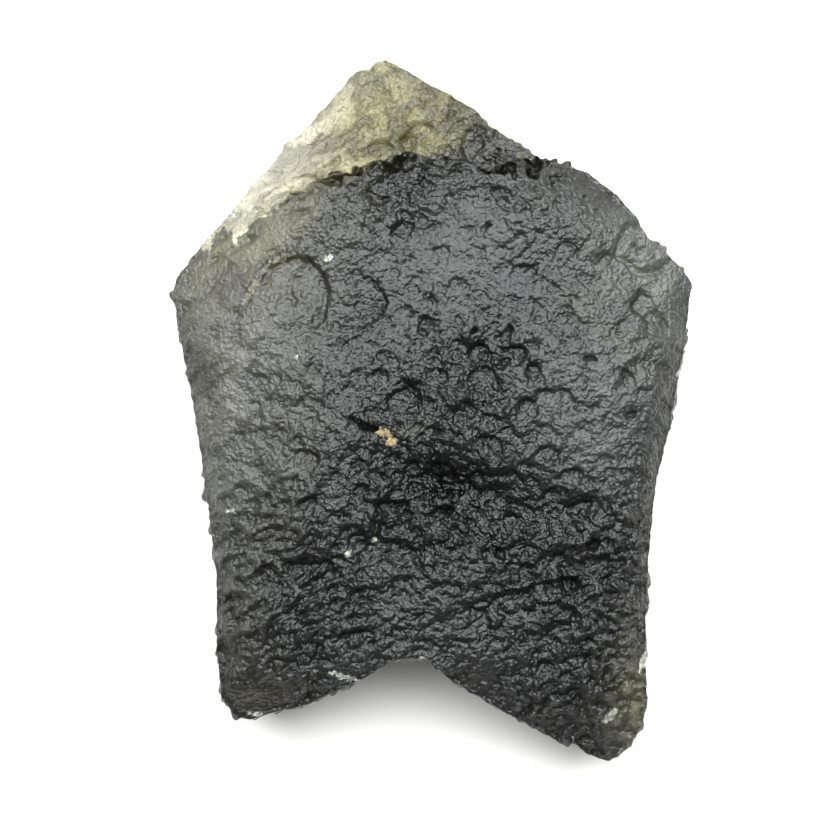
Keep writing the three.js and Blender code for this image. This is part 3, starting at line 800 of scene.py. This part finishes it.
def stained_material():
    # A grain of silica that the melt didn't take up, stained by iron from the ground: dry and matt, tan with
    # brown in its joints. Its real grains are finer, and 0.22 mm is the least that shows.
    return plain_skin("iron_stained_silica_grain", "#b09a70", "#574830", 0.22 * MM, 0.7)


# Values of the glass. The domes of a real etched skin are some hundredths of a millimetre wide, too fine to
# show in the render, so the grain is drawn as coarse as it needs to show.
DOME_SIZE = 0.26 * MM
FROST_SIZE = 0.14 * MM
FROST_RELIEF = 0.1 * MM
SATIN = 0.3
GLASS_IOR = 1.49
BODY_TRANSMISSION = 0.88
THIN_TRANSMISSION = 0.4
PASSED_COLOUR = "#8c9400"
ABSORPTION_PER_METRE = 600


def etched_glass(name, transmission):
    """Natural glass under an etched satin skin, with its tone, in which light and shade are painted, and its
    grain's strength from the skin.
    """
    material = bpy.data.materials.new(name)
    material.use_nodes = True
    tree = material.node_tree
    tree.nodes.clear()
    place = add(tree, "ShaderNodeTexCoord").outputs["Object"]
    tone = add(tree, "ShaderNodeAttribute", {"attribute_name": "skin_tone_and_painted_light"})
    domes = add(tree, "ShaderNodeTexVoronoi", {"Scale": 1 / DOME_SIZE}, Vector=place)
    frost = add(tree, "ShaderNodeTexNoise", {
        "Scale": 1 / FROST_SIZE,
        "Detail": 1,
        "Roughness": 0.6,
    }, Vector=place)
    relief = add(tree, "ShaderNodeMath", {"operation": "SUBTRACT"})
    tree.links.new(frost.outputs["Fac"], relief.inputs[0])
    tree.links.new(domes.outputs["Distance"], relief.inputs[1])
    bump = add(tree, "ShaderNodeBump", {"Distance": FROST_RELIEF}, Height=relief.outputs["Value"],
               Strength=tone.outputs["Alpha"])
    skin = add(tree, "ShaderNodeBsdfPrincipled", {
        "Roughness": SATIN,
        "IOR": GLASS_IOR,
        "Transmission Weight": transmission,
    }, Normal=bump.outputs["Normal"], Base_Color=tone.outputs["Color"])
    out = add(tree, "ShaderNodeOutputMaterial")
    tree.links.new(skin.outputs["BSDF"], out.inputs["Surface"])
    return material


def glass_material():
    # Natural impact glass, etched by water in the ground. Its satin skin of fine domes breaks the light into
    # grey glints, and the glass below takes up so much light that the thick body looks nearly black.
    material = etched_glass("etched_natural_tektite_glass", BODY_TRANSMISSION)
    tree = material.node_tree
    depth = add(tree, "ShaderNodeVolumeAbsorption", {
        "Color": linear(PASSED_COLOUR),
        "Density": ABSORPTION_PER_METRE,
    })
    tree.links.new(depth.outputs["Volume"], tree.nodes["Material Output"].inputs["Volume"])
    return material


def thin_glass_material():
    # The same glass where it is thinner than about 3.5 mm, and in splinters that stand off from the body.
    # Light that has entered it is scattered back by the etched skins on both of its sides, so the eye sees
    # olive to cream instead of black.
    return etched_glass("thin_light_scattering_tektite_glass", THIN_TRANSMISSION)


def moldavite():
    """The whole stone as one closed skin, in place of the solid."""
    points, triangles = ball()
    stone = reduced(mesh_object("moldavite_skin", stone_points(points) * MM, triangles), TRIANGLES)
    fit_to_box(stone)
    stone.data.shade_smooth()
    stone.data.materials.clear()
    stone.data.materials.append(glass_material())
    paint_skin(stone)
    assign_spots(stone)
    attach(stone, "root")
    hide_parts("moldavite")


FLOOR_SIZE = 2
FLOOR_COLOUR = (0.93, 0.9, 0.86, 1)
FLOOR_ROUGHNESS = 0.9


def pale_floor():
    """Matt floor that the stone lies on, slightly warm."""
    bpy.ops.mesh.primitive_plane_add(size=FLOOR_SIZE)
    floor = bpy.context.object
    floor.name = "pale_floor"
    material = bpy.data.materials.new("pale_floor")
    material.use_nodes = True
    shader = material.node_tree.nodes["Principled BSDF"]
    shader.inputs["Base Color"].default_value = FLOOR_COLOUR
    shader.inputs["Roughness"].default_value = FLOOR_ROUGHNESS
    floor.data.materials.append(material)


def area_light(name, position, target, size, power, colour):
    data = bpy.data.lights.new(name, "AREA")
    data.shape = "RECTANGLE"
    data.size, data.size_y = size
    data.energy = power
    data.color = colour
    lamp = bpy.data.objects.new(name, data)
    lamp.location = position
    lamp.rotation_euler = (Vector(target) - Vector(position)).to_track_quat("-Z", "Y").to_euler()
    bpy.context.collection.objects.link(lamp)


WORLD_COLOUR = (0.95, 0.97, 1, 1)
WORLD_STRENGTH = 0.3


def lights():
    """A broad window above the pointed end, and weak light from all around."""
    world = bpy.data.worlds.new("studio")
    world.use_nodes = True
    world.node_tree.nodes["Background"].inputs["Color"].default_value = WORLD_COLOUR
    world.node_tree.nodes["Background"].inputs["Strength"].default_value = WORLD_STRENGTH
    bpy.context.scene.world = world
    area_light(
        "window", position=(0.0, 0.235, 0.441), target=(0, 0, 0), size=(0.9, 0.54), power=10.3,
        colour=(0.96, 0.99, 1.0),
    )


# The picture shows 20 pixels to a millimetre, with the stone's middle at this pixel.
PICTURE = 826
PIXELS_PER_MM = 20
MIDDLE_PIXEL = (430, 408)
CAMERA_DISTANCE = 0.16
CAMERA_TILT = 4
SENSOR_WIDTH = 36
NEAR_LIMIT = 0.01
RIM_HEIGHT = 4 * MM


def camera():
    data = bpy.data.cameras.new("camera")
    data.sensor_width = SENSOR_WIDTH
    data.lens = data.sensor_width * CAMERA_DISTANCE / (PICTURE / PIXELS_PER_MM * MM)
    data.clip_start = NEAR_LIMIT
    eye = bpy.data.objects.new("camera", data)
    tilt = np.radians(CAMERA_TILT)
    aim = Vector(((PICTURE / 2 - MIDDLE_PIXEL[0]) / PIXELS_PER_MM * MM,
                  (MIDDLE_PIXEL[1] - PICTURE / 2) / PIXELS_PER_MM * MM, RIM_HEIGHT))
    eye.location = aim + CAMERA_DISTANCE * Vector((0, -np.sin(tilt), np.cos(tilt)))
    eye.rotation_euler = (tilt, 0, 0)
    bpy.context.collection.objects.link(eye)
    bpy.context.scene.camera = eye


moldavite()
pale_floor()
lights()
camera()
bpy.context.scene.view_settings.view_transform = "Standard"
